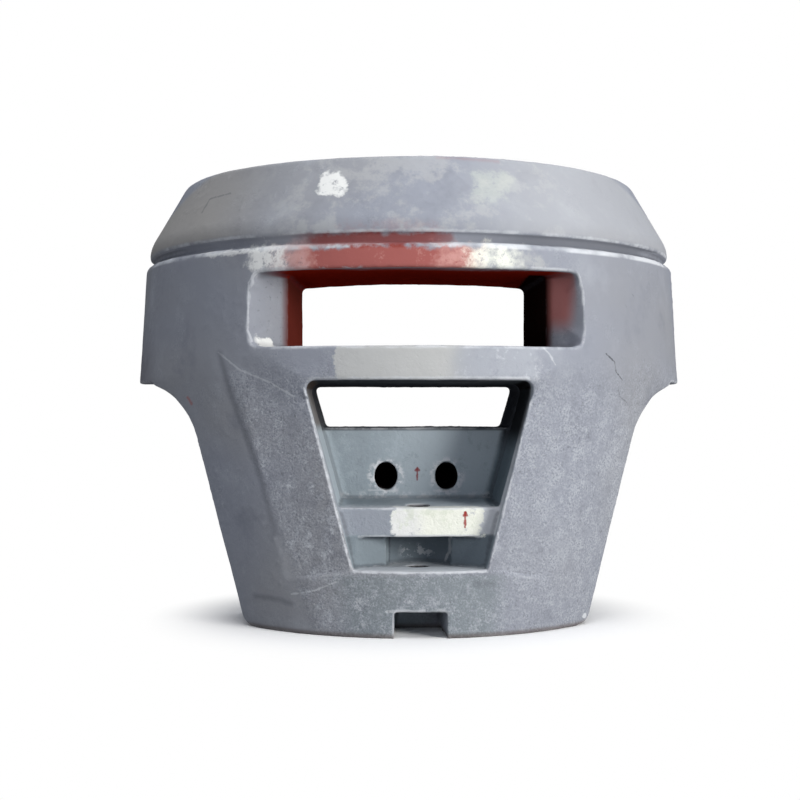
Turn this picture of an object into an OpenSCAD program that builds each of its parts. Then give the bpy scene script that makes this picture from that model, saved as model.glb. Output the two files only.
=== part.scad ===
// Rear counterweight of a counterbalance lift truck, cast in one piece in grey iron.
// X runs across the truck, +Y points to the truck, +Z is up. The origin is at the
// middle of the bounding box's underside. Sizes are in millimetres.
// Depths are measured from the rearmost point of the casting towards the truck.

/* [Overall] */
// Width over the wings
body_width = 1160; // [1060:5:1260]
// Height from the base to the top face
body_height = 876; // [850:1:920]
// Depth from the rearmost point to the truck side of the arms
body_depth = 560; // [500:5:570]
// Depth of the truck side of the middle wall
wall_depth = 330; // [310:5:350]

/* [Upper drum] */
// Height of the underside of the wings
wing_z = 462; // [440:1:480]
// Lean of the drum's wall above the wings, in degrees
drum_lean = 3.3; // [0:0.1:6]
// Height of the middle of the groove
groove_z = 715; // [700:1:730]
// Height of the groove
groove_height = 17; // [10:1:20]
// Depth of the groove
groove_depth = 16; // [14:1:24]
// Set-back of the top band behind the drum
band_set_back = 7; // [0:1:12]
// Upright rise of the top band above the groove
band_rise = 22; // [10:1:40]
// Lean of the top band, in degrees
band_lean = 30; // [15:1:35]
// Radius where the top band starts to lean
band_bend_radius = 60; // [20:5:70]
// Radius of the top edge
top_edge_radius = 14; // [5:1:20]
// Radius of the groove's upper edge
groove_edge_radius = 4; // [2:1:5]
// Radius of the groove's lower lip
groove_lip_radius = 11; // [4:1:12]

/* [Lower body] */
// Plan radius of the tapered body's nose at the base
nose_radius = 381; // [360:1:400]
// Half angle of the tapered body's cone, in degrees
taper = 20.8; // [20:0.1:22]
// Set-back of the tapered body's upright rear line behind the wings' lower edge
nose_set_back = 1; // [0.5:0.5:4]
// Width across the slanted sides at the base
base_width = 648; // [600:4:690]
// Slant of the sides, in degrees
side_slant = 15; // [12:0.5:17]
// Radius of the wheel arches under the wings
wheel_arch_radius = 150; // [110:5:170]
// Radius of the lower corners
base_corner_radius = 28; // [10:1:40]

/* [Upper window] */
// Height of the window's sill
window_z = 521; // [512:1:530]
// Clear height of the window
window_height = 139; // [120:1:150]
// Width of the flared mouth, where it meets the drum
mouth_width = 626; // [590:2:650]
// Width at the root of the flare
throat_width = 486; // [440:2:520]
// Depth of the root of the flare
throat_depth = 150; // [130:5:170]
// Width where the tunnel leaves the wall
exit_width = 444; // [400:2:470]
// Fall of the ceiling's ends from the flare's root to the truck side
window_fall = 11; // [4:1:14]
// Crown of the ceiling over its ends, at the truck side
window_crown = 10; // [0:1:14]
// Radius of the mouth's corners
mouth_corner_radius = 34; // [10:1:40]
// Radius of the tunnel's corners
exit_corner_radius = 8; // [4:1:20]

/* [Bolt recess and lower window] */
// Height of the recess's top edge
recess_top_z = 460; // [450:1:470]
// Height of the tow slot's floor, where the recess's side edges end
recess_foot_z = 119; // [105:1:130]
// Width between the side edges at the foot
recess_foot_width = 244; // [230:2:270]
// Slant of the side edges, in degrees
recess_slant = 14.9; // [12:0.1:16]
// Depth of the bolting plate
plate_depth = 190; // [170:5:210]
// Height of the plate's upper edge
plate_top_z = 373; // [360:1:385]
// Height of the plate's foot
plate_foot_z = 237; // [232:1:245]
// Radius of the recess's corners
recess_corner_radius = 15; // [5:1:20]
// Radius of the lower window's corners at its exit
lower_exit_radius = 5; // [2:1:15]

/* [Bolt holes] */
// Spacing of the two bolt holes
bolt_spacing = 116; // [105:1:130]
// Height of the bolt holes
bolt_z = 280; // [275:1:290]
// Diameter of the bolt holes
bolt_hole_d = 44; // [36:1:48]

/* [Tow jaw] */
// Depth of the jaw's upper slab behind the rearmost point
slab_face_depth = 58; // [50:1:66]
// Height of the slab's underside
slab_z = 175; // [165:1:185]
// Fall of the slab's upper face towards the rear
slab_fall = 9; // [4:1:14]
// Depth of the tow pin's axis
pin_depth = 98; // [94:1:104]
// Diameter of the tow pin's bore
pin_bore_d = 40; // [32:1:44]
// Radius of the rounded back of the slot
slot_back_radius = 60; // [50:1:64]
// Step at each side of the slot's mouth
slot_step = 2; // [1:1:5]
// Width of the notch under the jaw
notch_width = 99; // [80:1:110]
// Height of the notch
notch_height = 47; // [35:1:55]
// Depth of the notch's back
notch_depth = 128; // [122:1:140]

/* [Flank facets] */
// Turn of the flat facets beside the recess, in degrees
facet_turn = 25.9; // [25:0.1:27]
// Tilt of the facets towards the rear as they rise, in degrees
facet_tilt = 2; // [1:0.1:3]
// Depth of the facets' planes at the middle of the base
facet_offset = -36.5; // [-40:0.5:-34]
// Distance of a facet's outer crease from the middle at its head
facet_head_half = 367; // [355:1:380]
// Height of the outer crease's head
facet_head_z = 514; // [505:1:518]
// Distance of the outer crease from the middle at its foot
facet_foot_half = 222; // [210:1:235]
// Height of the outer crease's foot
facet_foot_z = 100; // [90:1:110]
// Height where a facet's upper edge meets the recess
facet_inner_z = 429; // [420:1:440]

/* [Truck side] */
// Width of the bay between the arms
bay_width = 730; // [700:5:760]
// Radius of the bay's corners in plan
bay_corner_radius = 50; // [20:5:80]
// Width of the hook that hangs on the frame's tail plate
hook_width = 420; // [380:5:460]
// Reach of the hook from the wall
hook_reach = 112; // [104:1:125]
// Height of the hook's upper face
hook_top_z = 364; // [360:1:367]
// Height of the hook's lower edge
hook_low_z = 205; // [195:1:215]
// Width of the hook's gap, which takes the frame's tail plate
hook_gap = 64; // [56:1:70]
// Height of the gap's roof
hook_roof_z = 326; // [320:1:332]
// Radius of the gap's inner corner and of the hook's toe
hook_radius = 12; // [6:1:18]
// Radius of the hook's shoulder
hook_shoulder_radius = 22; // [10:1:30]
// Width of the machined pad round the bolt holes
pad_width = 270; // [240:5:300]
// Height of the pad
pad_height = 80; // [70:1:90]
// Thickness of the pad
pad_thickness = 6; // [3:1:10]
// Radius of the pad's corners
pad_corner_radius = 12; // [5:1:20]
// Spacing of the tapped lifting holes in the top face
lift_spacing = 580; // [540:5:600]
// Depth of the lifting holes' axes
lift_depth = 262; // [258:1:268]
// Tapping diameter of the lifting holes
lift_hole_d = 32; // [20:1:36]
// Drilled length of the lifting holes
lift_hole_length = 90; // [60:5:120]

/* [Casting] */
// Draft on the walls of the windows and recesses, in degrees
draft = 2.5; // [1:0.1:3.5]

/* [Hidden] */
$fn = 96;
arc_steps = 8;
past = 30;
overlap = 1;
slot_overlap = 10;
straight_half = 89.9;
facet_overrun = 0.3;
iron = [0.47, 0.48, 0.52];

drum_radius = body_width / 2;
groove_low_z = groove_z - groove_height / 2;
groove_high_z = groove_z + groove_height / 2;
shoulder_radius = drum_radius - (groove_low_z - wing_z) * tan(drum_lean);
band_radius = shoulder_radius - band_set_back;
band_bend_z = groove_high_z + band_rise;
top_radius = band_radius - (body_height - band_bend_z) * tan(band_lean);
window_top_z = window_z + window_height;

// Y of a depth that is measured from the rearmost point
function at_depth(depth) = depth - body_depth / 2;

// Depth of the drum's wall, at the height of the wings, at a distance from the middle
function drum_depth(x) = drum_radius - sqrt(pow(drum_radius, 2) - x * x);

// Half width between the recess's side edges at a height
function recess_half(z) = recess_foot_width / 2 + (z - recess_foot_z) * tan(recess_slant);

// Half width across the slanted sides at a height
function side_half(z) = base_width / 2 + z * tan(side_slant);

// Half depth of the tapered body's section at a height
function cone_half_depth(z) = nose_radius / (1 - pow(tan(taper), 2)) + z * tan(2 * taper) / 2;

// Depth of a facet's plane at a distance from the middle and a height
function facet_face(x, z) = facet_offset + x * tan(facet_turn) - z * tan(facet_tilt);

function unit(v) = v / norm(v);

// The points of one rounded corner b, between its neighbours a and c
function corner_points(a, b, c, radius) =
    let (u = unit(a - b), v = unit(c - b), half = acos(u * v) / 2)
    radius == 0 || half > straight_half ? [b] :
    let (
        centre = b + unit(u + v) * radius / sin(half),
        first = b + u * radius / tan(half) - centre,
        last = b + v * radius / tan(half) - centre,
        sweep = 180 - 2 * half,
        turn = sign(first.x * last.y - first.y * last.x) * sweep
    )
    [for (i = [0:arc_steps]) let (a = turn * i / arc_steps)
        centre + [first.x * cos(a) - first.y * sin(a), first.x * sin(a) + first.y * cos(a)]];

// A closed outline from corners given as [x, y, radius]
function rounded(corners) =
    let (n = len(corners), p = [for (c = corners) [c.x, c.y]])
    [for (i = [0:n - 1]) each corner_points(p[(i + n - 1) % n], p[i], p[(i + 1) % n], corners[i][2])];

// The corners of an upright trapezium that is symmetric about the middle, [x, z, radius]
function trapezium(low_half, high_half, low_z, high_z, low_radius, high_radius) = [
    [-low_half, low_z, low_radius],
    [low_half, low_z, low_radius],
    [high_half, high_z, high_radius],
    [-high_half, high_z, high_radius]
];

// The outline of a window whose head is crowned over its rounded corners
function crowned(half, low_z, high_z, radius, crown) = rounded(concat(
    [[-half, low_z, radius], [half, low_z, radius], [half, high_z, radius]],
    [for (i = [1:arc_steps - 1]) let (side = 1 - 2 * i / arc_steps)
        [side * half, high_z + crown * (1 - side * side), 0]],
    [[-half, high_z, radius]]
));

// An XZ outline placed at a depth
function ring(outline, depth) = [for (p = outline) [p.x, at_depth(depth), p.y]];

// A solid through rings with as many points each, every ring turning to the left
// when it is seen along the way the rings follow one another
module loft(rings) {
    n = len(rings[0]);
    last = len(rings) - 1;
    polyhedron(
        points = [for (r = rings) each r],
        faces = concat(
            [[for (i = [n - 1:-1:0]) i]],
            [[for (i = [0:n - 1]) last * n + i]],
            [for (k = [0:last - 1], i = [0:n - 1])
                let (j = (i + 1) % n) [k * n + i, k * n + j, (k + 1) * n + j]],
            [for (k = [0:last - 1], i = [0:n - 1])
                let (j = (i + 1) % n) [k * n + i, (k + 1) * n + j, (k + 1) * n + i]]
        )
    );
}

// A linear extrusion of an XZ outline from one depth to another
module extrude_depth(from, to) {
    translate([0, at_depth(to), 0])
        rotate([90, 0, 0])
            linear_extrude(to - from)
                children();
}

module mirrored_pair() {
    children();
    mirror([1, 0, 0])
        children();
}

// The turned upper part: wings, groove and leaning top band
module upper_drum() {
    translate([0, at_depth(drum_radius), 0])
        rotate_extrude()
            polygon(rounded([
                [0, wing_z, 0],
                [drum_radius, wing_z, 0],
                [shoulder_radius, groove_low_z, groove_lip_radius],
                [shoulder_radius - groove_depth, groove_low_z, 0],
                [shoulder_radius - groove_depth, groove_high_z, 0],
                [band_radius, groove_high_z, groove_edge_radius],
                [band_radius, band_bend_z, band_bend_radius],
                [top_radius, body_height, top_edge_radius],
                [0, body_height, 0]
            ]));
}

// The tapered lower part: a cone that is tilted by its half angle, so that its rear line is upright
module lower_cone() {
    apex_drop = 2 * cone_half_depth(0) / tan(2 * taper);
    length = 2 * (apex_drop + wing_z);
    translate([0, at_depth(nose_set_back), -apex_drop])
        rotate([-taper, 0, 0])
            cylinder(h = length, r1 = 0, r2 = length * tan(taper));
}

// Everything inside the outline seen from the rear, between two depths
module rear_outline(from, to) {
    corner_z = wing_z;
    arch_half = side_half(corner_z);
    reach = drum_radius + past;
    extrude_depth(from, to)
        polygon(rounded([
            [-base_width / 2, 0, base_corner_radius],
            [base_width / 2, 0, base_corner_radius],
            [arch_half, corner_z, wheel_arch_radius],
            [reach, corner_z, 0],
            [reach, body_height + past, 0],
            [-reach, body_height + past, 0],
            [-reach, corner_z, 0],
            [-arch_half, corner_z, wheel_arch_radius]
        ]));
}

// The block before the windows, recesses and bores are cut
module solid_body() {
    intersection() {
        upper_drum();
        rear_outline(-past, body_depth);
    }
    intersection() {
        lower_cone();
        rear_outline(-past, wall_depth);
        translate([-drum_radius, at_depth(-past), 0])
            cube([2 * drum_radius, body_depth, wing_z]);
    }
}

// The air window under the groove, with its flared mouth and drafted tunnel
module upper_window() {
    mouth_depth = drum_depth(mouth_width / 2);
    flare = (mouth_width - throat_width) / 2 / (throat_depth - mouth_depth);
    front_half = throat_width / 2 + flare * (throat_depth + past);
    stretch = (wall_depth + past - throat_depth) / (wall_depth - throat_depth);
    far_half = throat_width / 2 - (throat_width - exit_width) / 2 * stretch;
    far_top_z = window_top_z - window_fall * stretch;
    mouth = crowned(front_half, window_z, window_top_z, mouth_corner_radius, 0);
    throat = crowned(throat_width / 2, window_z, window_top_z, exit_corner_radius, 0);
    far = crowned(far_half, window_z, far_top_z, exit_corner_radius, window_crown * stretch);
    loft([ring(mouth, -past), ring(throat, throat_depth), ring(far, wall_depth + past)]);
}

// The recess in front of the bolting plate, and the lower window above the plate
module bolt_recess() {
    depth = plate_depth + past;
    narrow = depth * tan(draft);
    near_foot_z = plate_foot_z - slab_fall * depth / (plate_depth - slab_face_depth);
    near = rounded(trapezium(recess_half(near_foot_z), recess_half(recess_top_z), near_foot_z,
        recess_top_z, 0, recess_corner_radius));
    plate = rounded(trapezium(recess_half(plate_foot_z) - narrow, recess_half(recess_top_z) - narrow,
        plate_foot_z, recess_top_z - narrow / 2, 0, recess_corner_radius));
    loft([ring(near, -past), ring(plate, plate_depth)]);

    through = wall_depth + past - plate_depth;
    far_narrow = narrow + through * tan(draft);
    sill = trapezium(recess_half(plate_top_z) - narrow, recess_half(recess_top_z) - narrow,
        plate_top_z, recess_top_z - narrow / 2, 0, recess_corner_radius);
    far = trapezium(recess_half(plate_top_z) - far_narrow, recess_half(recess_top_z) - far_narrow,
        plate_top_z, recess_top_z - far_narrow / 2, 0, lower_exit_radius);
    loft([ring(rounded(sill), plate_depth), ring(rounded(far), wall_depth + past)]);
}

// The two holes for the bolts that hold the casting to the frame
module bolt_holes() {
    mirrored_pair()
        translate([bolt_spacing / 2, at_depth(plate_depth - past), bolt_z])
            rotate([-90, 0, 0])
                cylinder(d = bolt_hole_d, h = wall_depth + pad_thickness + past - plate_depth + hook_gap / 2);
}

// The space in front of the jaw's upper slab, and the slot that takes a drawbar eye
module tow_slot() {
    depth = slab_face_depth + past;
    narrow = depth * tan(draft);
    near = trapezium(recess_half(recess_foot_z), recess_half(plate_foot_z), recess_foot_z, plate_foot_z, 0, 0);
    far = trapezium(recess_half(recess_foot_z) - narrow, recess_half(plate_foot_z) - narrow,
        recess_foot_z, plate_foot_z, 0, 0);
    loft([ring(near, -past), ring(far, slab_face_depth)]);

    mouth_half = recess_half(recess_foot_z) - narrow - slot_step;
    mouth_depth = slab_face_depth - slot_overlap;
    translate([0, 0, recess_foot_z])
        linear_extrude(slab_z - recess_foot_z) {
            translate([0, at_depth(pin_depth)])
                circle(slot_back_radius);
            polygon([
                [-mouth_half, at_depth(mouth_depth)],
                [mouth_half, at_depth(mouth_depth)],
                [mouth_half, at_depth(slab_face_depth)],
                [slot_back_radius - slot_step, at_depth(pin_depth)],
                [slot_step - slot_back_radius, at_depth(pin_depth)],
                [-mouth_half, at_depth(slab_face_depth)]
            ]);
        }
}

// The bore for the tow pin, down through the slab and the lip into the notch
module pin_bore() {
    translate([0, at_depth(pin_depth), notch_height - overlap])
        cylinder(d = pin_bore_d, h = plate_foot_z - notch_height);
}

// The notch under the lip, where the tow pin's end comes out
module pin_notch() {
    narrow = (notch_depth + past) * tan(draft);
    near = trapezium(notch_width / 2, notch_width / 2, -past, notch_height, 0, 0);
    far = trapezium(notch_width / 2 - narrow, notch_width / 2 - narrow, -past, notch_height - narrow / 2, 0, 0);
    loft([ring(near, -past), ring(far, notch_depth)]);
}

// The shallow flat facets that are cut into the flanks beside the recess
module facet_cut() {
    head_outer = [facet_head_half, facet_head_z];
    head_inner = [recess_half(facet_inner_z), facet_inner_z];
    foot_outer = [facet_foot_half, facet_foot_z];
    foot_inner = [recess_half(recess_foot_z), recess_foot_z];
    head_run = (head_outer - head_inner) * facet_overrun;
    foot_run = (foot_outer - foot_inner) * facet_overrun;
    outline = [foot_inner - foot_run, foot_outer + foot_run, head_outer + head_run, head_inner - head_run];
    mirrored_pair()
        loft([ring(outline, -past), [for (p = outline) [p.x, at_depth(facet_face(p.x, p.y)), p.y]]]);
}

// The bay between the arms, open at the top and towards the truck
module truck_bay() {
    half = bay_width / 2;
    translate([0, 0, -past])
        linear_extrude(body_height + 2 * past)
            polygon(rounded([
                [-half, at_depth(wall_depth), bay_corner_radius],
                [half, at_depth(wall_depth), bay_corner_radius],
                [half, at_depth(body_depth + past), 0],
                [-half, at_depth(body_depth + past), 0]
            ]));
}

// The hook on the truck side of the wall, open downwards for the frame's tail plate
module frame_hook() {
    translate([-hook_width / 2, at_depth(wall_depth), 0])
        rotate([90, 0, 90])
            linear_extrude(hook_width)
                polygon(rounded([
                    [-past, hook_top_z, 0],
                    [-past, hook_roof_z, 0],
                    [hook_gap, hook_roof_z, hook_radius],
                    [hook_gap, hook_low_z, hook_radius],
                    [hook_reach, hook_low_z, hook_radius],
                    [hook_reach, hook_top_z, hook_shoulder_radius]
                ]));
}

// The machined pad round the bolt holes on the truck side
module bolt_pad() {
    extrude_depth(wall_depth - overlap, wall_depth + pad_thickness)
        polygon(rounded([
            [-pad_width / 2, bolt_z - pad_height / 2, pad_corner_radius],
            [pad_width / 2, bolt_z - pad_height / 2, pad_corner_radius],
            [pad_width / 2, bolt_z + pad_height / 2, pad_corner_radius],
            [-pad_width / 2, bolt_z + pad_height / 2, pad_corner_radius]
        ]));
}

// The tapped holes for lifting eyes
module lift_holes() {
    mirrored_pair()
        translate([lift_spacing / 2, at_depth(lift_depth), body_height - lift_hole_length])
            cylinder(d = lift_hole_d, h = lift_hole_length + past);
}

module counterweight() {
    color(iron)
        difference() {
            union() {
                difference() {
                    solid_body();
                    truck_bay();
                }
                frame_hook();
                bolt_pad();
            }
            upper_window();
            bolt_recess();
            tow_slot();
            facet_cut();
            pin_notch();
            pin_bore();
            bolt_holes();
            lift_holes();
        }
}

counterweight();
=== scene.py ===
# %% [markdown]
# # A cast iron counterweight
# The object is the rear counterweight of a lift truck: one grey iron casting of well over a tonne.
# It came out of a sand mould, was fettled, filled here and there, and partly primed.
# The solid is already exact, so this lesson gives it what a mould and a paint shop leave behind:
# soft edges, a skin that is never quite flat, and a coat of primer with a history.

# %% Load the solid
import math

import bpy
import bmesh
import numpy as np
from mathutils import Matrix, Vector


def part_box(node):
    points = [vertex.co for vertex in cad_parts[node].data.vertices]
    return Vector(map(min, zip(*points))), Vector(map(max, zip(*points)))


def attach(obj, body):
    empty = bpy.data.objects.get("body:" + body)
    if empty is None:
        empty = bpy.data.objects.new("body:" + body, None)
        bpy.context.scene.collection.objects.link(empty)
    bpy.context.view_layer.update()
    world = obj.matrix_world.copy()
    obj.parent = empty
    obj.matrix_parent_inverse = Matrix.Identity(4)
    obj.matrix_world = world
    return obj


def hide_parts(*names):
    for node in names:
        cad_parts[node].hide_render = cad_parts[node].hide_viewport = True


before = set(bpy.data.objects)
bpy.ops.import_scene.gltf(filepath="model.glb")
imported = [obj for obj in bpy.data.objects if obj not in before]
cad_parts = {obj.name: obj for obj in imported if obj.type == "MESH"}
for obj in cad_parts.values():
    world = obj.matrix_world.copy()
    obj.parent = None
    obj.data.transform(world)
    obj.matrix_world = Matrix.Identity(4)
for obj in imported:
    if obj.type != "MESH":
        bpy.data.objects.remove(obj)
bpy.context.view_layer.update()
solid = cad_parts["counterweight"]
low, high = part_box("counterweight")
print("solid from", tuple(round(v, 3) for v in low), "to", tuple(round(v, 3) for v in high))

# %% [markdown]
# ## The view
# The photograph was taken from about half the casting's height, a little left of its middle,
# from 2.4 metres away. A camera can be aimed by a constraint or by its angles. Here the angles are
# worked out from how far the aim lies to the right of the camera and above it, so nothing stays live.

# %% The camera
MM = 0.001
CAMERA_PLACE = Vector((-0.115, -2.671, 0.3963))
CAMERA_LENS = 60.8
AIM_RIGHT = 44 / 1351
AIM_UP = 15 / 1351

camera_data = bpy.data.cameras.new("rear_view")
camera_data.lens = CAMERA_LENS
camera_data.sensor_width = 36
camera_data.clip_end = 100
camera = bpy.data.objects.new("rear_view", camera_data)
camera.location = CAMERA_PLACE
camera.rotation_euler = (math.pi / 2 + math.atan(AIM_UP), 0, -math.atan(AIM_RIGHT))
bpy.context.scene.collection.objects.link(camera)
bpy.context.scene.camera = camera
rear_middle = Vector((0, low.y, CAMERA_PLACE.z))
print("camera", round((CAMERA_PLACE - rear_middle).length, 2), "m from the rear face")

# %% [markdown]
# ## From sharp solid to casting
# A mould can't hold a sharp edge: sand crumbles there, and iron doesn't run into it.
# A bevel modifier could round each edge, but where slanted walls meet a drum it makes knots.
# A voxel remesh turns the whole solid into one even net, and a little smoothing then rounds every
# edge by about the same few millimetres, as a mould does.

# %% One even net
VOXEL = 3.2 * MM
SMOOTH_PASSES = 5


def joined_copy(source, name):
    """A copy of the solid with its loose triangles merged into one closed net."""
    mesh = source.data.copy()
    mesh.name = name
    net = bmesh.new()
    net.from_mesh(mesh)
    bmesh.ops.remove_doubles(net, verts=net.verts, dist=0.01 * MM)
    net.to_mesh(mesh)
    net.free()
    mesh.materials.clear()
    piece = bpy.data.objects.new(name, mesh)
    bpy.context.scene.collection.objects.link(piece)
    return piece


def freeze(piece):
    """Turns what the live modifiers give into the piece's own plain mesh."""
    graph = bpy.context.evaluated_depsgraph_get()
    result = bpy.data.meshes.new_from_object(piece.evaluated_get(graph))
    old = piece.data
    piece.modifiers.clear()
    piece.data = result
    bpy.data.meshes.remove(old)
    return piece


def coordinates(mesh):
    """The mesh's points as one array, in metres."""
    flat = np.empty(len(mesh.vertices) * 3, np.float32)
    mesh.vertices.foreach_get("co", flat)
    return flat.reshape(-1, 3).astype(float)


def move_points(mesh, points):
    mesh.vertices.foreach_set("co", points.astype(np.float32).ravel())
    mesh.update()


casting = joined_copy(solid, "casting_skin")
remesh = casting.modifiers.new("even_net", "REMESH")
remesh.mode = "VOXEL"
remesh.voxel_size = VOXEL
smooth = casting.modifiers.new("mould_edges", "SMOOTH")
smooth.factor = 0.5
smooth.iterations = SMOOTH_PASSES
freeze(casting)
print("even net:", len(casting.data.vertices), "points")

# %% [markdown]
# ## The flowing flanks
# The solid is a turned drum on a tilted cone, and the two meet in a faint line under the wings.
# On the casting that line has been rubbed away by the pattern maker. Smoothing the whole net more
# would spoil the windows, so the points near the line are averaged with their neighbours by a
# weight that fades with height, and only on the outer wall. The right facet's upper crease was
# rubbed down too, and the left one only at its inner end.

# %% Rub out the line under the wings
WING_Z = 462 * MM
RUB_REACH = 46 * MM
RUB_INNER_HALF = 235 * MM
RUB_OUTER_HALF = 505 * MM
RUB_PASSES = 260
RUB_FADE_INNER = 60 * MM
RUB_FADE_OUTER = 90 * MM
WALL_Y = 45 * MM
WALL_FADE = 20 * MM
CREASES = (((230, 436), (367, 514)), ((-240, 442), (-290, 470)))
CREASE_REACH = 34 * MM
CREASE_DEPTHS = (-205 * MM, -135 * MM)


def smoothstep(edge_from, edge_to, values):
    t = np.clip((values - edge_from) / (edge_to - edge_from), 0, 1)
    return t * t * (3 - 2 * t)


def edge_pairs(mesh):
    pairs = np.empty(len(mesh.edges) * 2, np.int64)
    mesh.edges.foreach_get("vertices", pairs)
    return pairs.reshape(-1, 2)


def relax(points, pairs, weight, passes):
    """Moves each point towards the middle of its neighbours, as far as its weight says."""
    active = np.flatnonzero((weight[pairs[:, 0]] > 0) | (weight[pairs[:, 1]] > 0))
    a, b = pairs[active, 0], pairs[active, 1]
    count = np.bincount(a, minlength=len(points)) + np.bincount(b, minlength=len(points))
    count = np.maximum(count, 1)
    share = (0.5 * weight)[:, None]
    for _ in range(passes):
        middle = np.empty_like(points)
        for axis in range(3):
            total = np.bincount(a, points[b, axis], len(points))
            total += np.bincount(b, points[a, axis], len(points))
            middle[:, axis] = total / count
        points = points + share * (middle - points)
    return points


points = coordinates(casting.data)
distance = np.abs(points[:, 0])
rub = 1 - smoothstep(0.3 * RUB_REACH, RUB_REACH, np.abs(points[:, 2] - WING_Z))
rub *= smoothstep(RUB_INNER_HALF, RUB_INNER_HALF + RUB_FADE_INNER, distance)
rub *= 1 - smoothstep(RUB_OUTER_HALF - RUB_FADE_OUTER, RUB_OUTER_HALF, distance)
rub *= 1 - smoothstep(WALL_Y - WALL_FADE, WALL_Y, points[:, 1])
for crease in CREASES:
    start, end = np.array(crease) * MM
    run = end - start
    offset = points[:, [0, 2]] - start
    along = np.clip(offset @ run / (run @ run), 0, 1)
    away = np.linalg.norm(offset - along[:, None] * run, axis=1)
    soft_crease = 1 - smoothstep(0.4 * CREASE_REACH, CREASE_REACH, away)
    soft_crease *= 1 - smoothstep(*CREASE_DEPTHS, points[:, 1])
    rub = np.maximum(rub, soft_crease)
rubbed = relax(points, edge_pairs(casting.data), rub, RUB_PASSES)
print("the line moved by up to", round(float(np.abs(rubbed - points).max()) / MM, 1), "mm")
move_points(casting.data, rubbed)

# %% [markdown]
# ## The mouths of the bolt holes
# The two cored holes in the plate are a little taller than wide at their mouths, because the
# core was dressed by hand. Points near each mouth are drawn up and down from the hole's middle,
# and the bore itself stays as it is.

# %% Draw the mouths taller
BOLT_HALF_SPACING = 58 * MM
BOLT_Z = 280 * MM
BOLT_RADIUS = 22 * MM
PLATE_Y = -90 * MM
MOUTH_STRETCH = 5.0 * MM
MOUTH_REACH = 26 * MM
MOUTH_FADE = 14 * MM

points = coordinates(casting.data)
for side in (-1, 1):
    across = points[:, 0] - side * BOLT_HALF_SPACING
    up = points[:, 2] - BOLT_Z
    ring = np.hypot(across, up)
    pull = 1 - smoothstep(BOLT_RADIUS, BOLT_RADIUS + MOUTH_FADE, ring)
    pull *= 1 - smoothstep(0.4 * MOUTH_REACH, MOUTH_REACH, np.abs(points[:, 1] - PLATE_Y))
    points[:, 2] += MOUTH_STRETCH * pull * up / np.maximum(ring, MM)
move_points(casting.data, points)
print("mouths are", round(2 * (BOLT_RADIUS + MOUTH_STRETCH) / MM), "mm tall")

# %% [markdown]
# ## The corners of the window
# The upper window's mouth has wide round corners, and its left edge was ground back a little.
# The solid's corners are tighter, since its mouth narrows from a wider one in front of the wall.
# Points near a corner are drawn towards the corner's middle. The pull fades with depth and with
# distance, and each moved point keeps its depth below the drum's leaning wall.

# %% Round the corners of the window
DRUM_RADIUS = high.x
DRUM_LEAN = 3.3
REAR_Y = low.y
MOUTH_HALF = 313 * MM
SILL_Z = 521 * MM
HEAD_Z = 660 * MM
CORNER_RADIUS = 38 * MM
CORNER_POWER = 3.3
CORNER_FADE = 28 * MM
CORNER_DEPTHS = (12 * MM, 120 * MM)
GROUND_BACK = 7 * MM
GROUND_REACH = 42 * MM
GROUND_LOW = (SILL_Z - 14 * MM, SILL_Z + 6 * MM)
GROUND_HIGH = (HEAD_Z - 6 * MM, HEAD_Z + 22 * MM)


def wall_line(points):
    """Where the drum's wall lies, front to back, at each point's width and height."""
    reach = np.sqrt(np.maximum(DRUM_RADIUS ** 2 - points[:, 0] ** 2, 0))
    lean = np.maximum(points[:, 2] - WING_Z, 0) * math.tan(math.radians(DRUM_LEAN))
    return DRUM_RADIUS + REAR_Y - reach + lean


points = coordinates(casting.data)
wall_before = wall_line(points)
near_wall = 1 - smoothstep(*CORNER_DEPTHS, points[:, 1] - wall_before)
for side in (-1, 1):
    for edge_z, upward in ((SILL_Z, -1), (HEAD_Z, 1)):
        across = side * points[:, 0] - (MOUTH_HALF - CORNER_RADIUS)
        rise = upward * (points[:, 2] - edge_z) + CORNER_RADIUS
        inner = (across > 0) & (rise > 0) & (near_wall > 0)
        across, rise = across[inner], rise[inner]
        away = np.hypot(across, rise)
        square = (across ** CORNER_POWER + rise ** CORNER_POWER) ** (1 / CORNER_POWER)
        edge = CORNER_RADIUS * away / square
        pull = (edge - CORNER_RADIUS) * np.minimum(away / edge, 1) * near_wall[inner]
        pull *= 1 - smoothstep(0, CORNER_FADE, away - edge)
        points[inner, 0] -= side * pull * across / away
        points[inner, 2] -= upward * pull * rise / away
ground = near_wall * (1 - smoothstep(0, GROUND_REACH, np.abs(points[:, 0] + MOUTH_HALF)))
ground *= smoothstep(*GROUND_LOW, points[:, 2])
ground *= 1 - smoothstep(*GROUND_HIGH, points[:, 2])
points[:, 0] -= GROUND_BACK * ground
points[:, 1] += wall_line(points) - wall_before
move_points(casting.data, points)
print("window corners rounded to", round(CORNER_RADIUS / MM), "mm")

# %% [markdown]
# ## Where edges are
# Paint wears first on edges, and dirt stays in corners. The pale edges also serve as painted
# highlights, and the dark corners as painted shade. A shader can guess both from its Pointiness, which
# isn't kept outside one renderer. Measuring it here is plainer: a point that stands out of its
# smoothed surroundings lies on an edge, and one that stands in lies in a corner.

# %% Measure the edges
EDGE_PASSES = 9
EDGE_FULL = 1.1 * MM

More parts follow.
